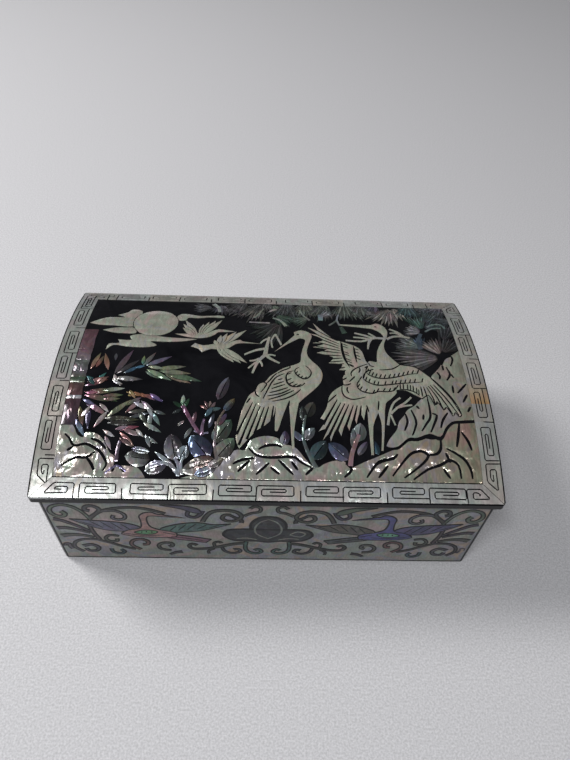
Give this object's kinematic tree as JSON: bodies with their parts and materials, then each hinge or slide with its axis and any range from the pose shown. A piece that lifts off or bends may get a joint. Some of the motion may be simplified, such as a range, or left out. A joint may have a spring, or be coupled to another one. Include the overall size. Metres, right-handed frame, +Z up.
{
  "type": "jewelry box",
  "caption": "Rectangular lacquered jewelry box with a barrel-vaulted hinged lid inlaid with pearl, pearl sides, and a velvet-lined inside with ring rolls, dividers and a lid mirror.",
  "frame": {"origin": "middle of the underside of the closed box", "axes": "+Z up; the front faces -Y; the lid is hinged along the back at +Y; +X is to the right seen from the front"},
  "size_m": [0.1806, 0.112, 0.0664],
  "materials": {
    "black_lacquer": "black lacquer on wood, high gloss",
    "pearl_sheet": "mother-of-pearl sheet, polished",
    "pearl_inlay": "mother-of-pearl inlay, polished",
    "abalone_inlay": "abalone inlay, polished",
    "abalone_scrolls": "dark abalone inlay, polished",
    "velvet": "short-pile velvet",
    "ring_roll_velvet": "short-pile velvet over foam",
    "felt": "felt",
    "board": "card board",
    "brass": "polished",
    "mirror": "silvered glass"
  },
  "bodies": {
    "base": {"base_bottom": "black_lacquer", "front_wall": "black_lacquer", "back_wall": "black_lacquer", "left_wall": "black_lacquer", "right_wall": "black_lacquer", "base_felt": "felt", "front_veneer": "pearl_sheet", "back_veneer": "pearl_sheet", "left_veneer": "pearl_sheet", "right_veneer": "pearl_sheet", "front_scrolls": "abalone_scrolls", "back_scrolls": "abalone_scrolls", "left_scrolls": "abalone_scrolls", "right_scrolls": "abalone_scrolls", "floor_pad": "velvet", "front_lining": "velvet", "back_lining": "velvet", "left_lining": "velvet", "right_lining": "velvet", "cross_divider": "velvet", "long_divider": "velvet", "ring_roll_1": "ring_roll_velvet", "ring_roll_2": "ring_roll_velvet", "ring_roll_3": "ring_roll_velvet", "ring_roll_4": "ring_roll_velvet", "ring_roll_5": "ring_roll_velvet", "left_base_leaf": "brass", "right_base_leaf": "brass", "left_hinge_pin": "brass", "right_hinge_pin": "brass", "base_hinge_screws": "brass"},
    "lid": {"lid_board": "black_lacquer", "lid_front_rail": "black_lacquer", "lid_back_rail": "black_lacquer", "lid_left_gable": "black_lacquer", "lid_right_gable": "black_lacquer", "left_gable_veneer": "pearl_sheet", "right_gable_veneer": "pearl_sheet", "lid_backing": "board", "lid_velvet": "velvet", "mirror": "mirror", "left_lid_leaf": "brass", "right_lid_leaf": "brass", "lid_hinge_screws": "brass", "border_front": "pearl_sheet", "border_back": "pearl_sheet", "border_left": "pearl_sheet", "border_right": "pearl_sheet", "moon_and_clouds": "pearl_inlay", "flying_cranes": "pearl_inlay", "standing_crane": "pearl_inlay", "spread_crane": "pearl_inlay", "crane_twigs": "pearl_inlay", "pine_boughs": "abalone_inlay", "bamboo": "abalone_inlay", "standing_rock": "pearl_inlay", "shore_rocks": "pearl_inlay", "shore_plants": "abalone_inlay"}
  },
  "joints": [
    {"name": "lid_hinge", "type": "hinge", "parent": "base", "child": "lid", "pos_m": [0, 0.0542, 0.0525], "axis": [-1, 0, 0], "range_deg": [0, 95]}
  ]
}
